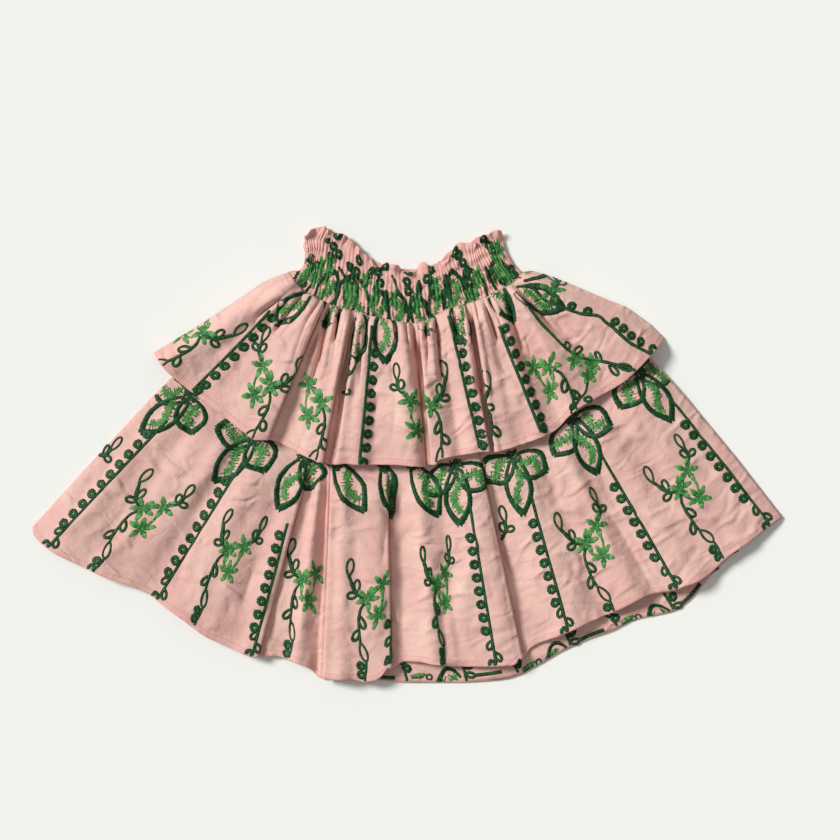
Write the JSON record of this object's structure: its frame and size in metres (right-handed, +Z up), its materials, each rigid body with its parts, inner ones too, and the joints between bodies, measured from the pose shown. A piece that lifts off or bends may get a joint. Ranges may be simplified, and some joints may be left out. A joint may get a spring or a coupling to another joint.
{
  "type": "child's tiered skirt, laid flat",
  "caption": "Short gathered skirt with a shirred waistband, a small ruffle at its top edge, a short upper tier and a longer lower tier, lying flat with folds.",
  "frame": {"origin": "on the surface the skirt lies on, under the middle of its bounding box", "axes": "+X to the right as the front is seen, +Y from hem to waist, +Z up off the surface"},
  "size_m": [0.6364, 0.386, 0.0156],
  "materials": {
    "shirred_cotton": "matte crinkled cotton, dusty pink with green embroidery drawn together by elastic",
    "tier_cotton": "matte plain-woven cotton, dusty pink with dark and bright green embroidery"
  },
  "bodies": {
    "root": {"waistband_front": "shirred_cotton", "waistband_back": "shirred_cotton", "upper_tier_front": "tier_cotton", "upper_tier_back": "tier_cotton", "lower_tier_front": "tier_cotton", "lower_tier_back": "tier_cotton"}
  },
  "joints": []
}
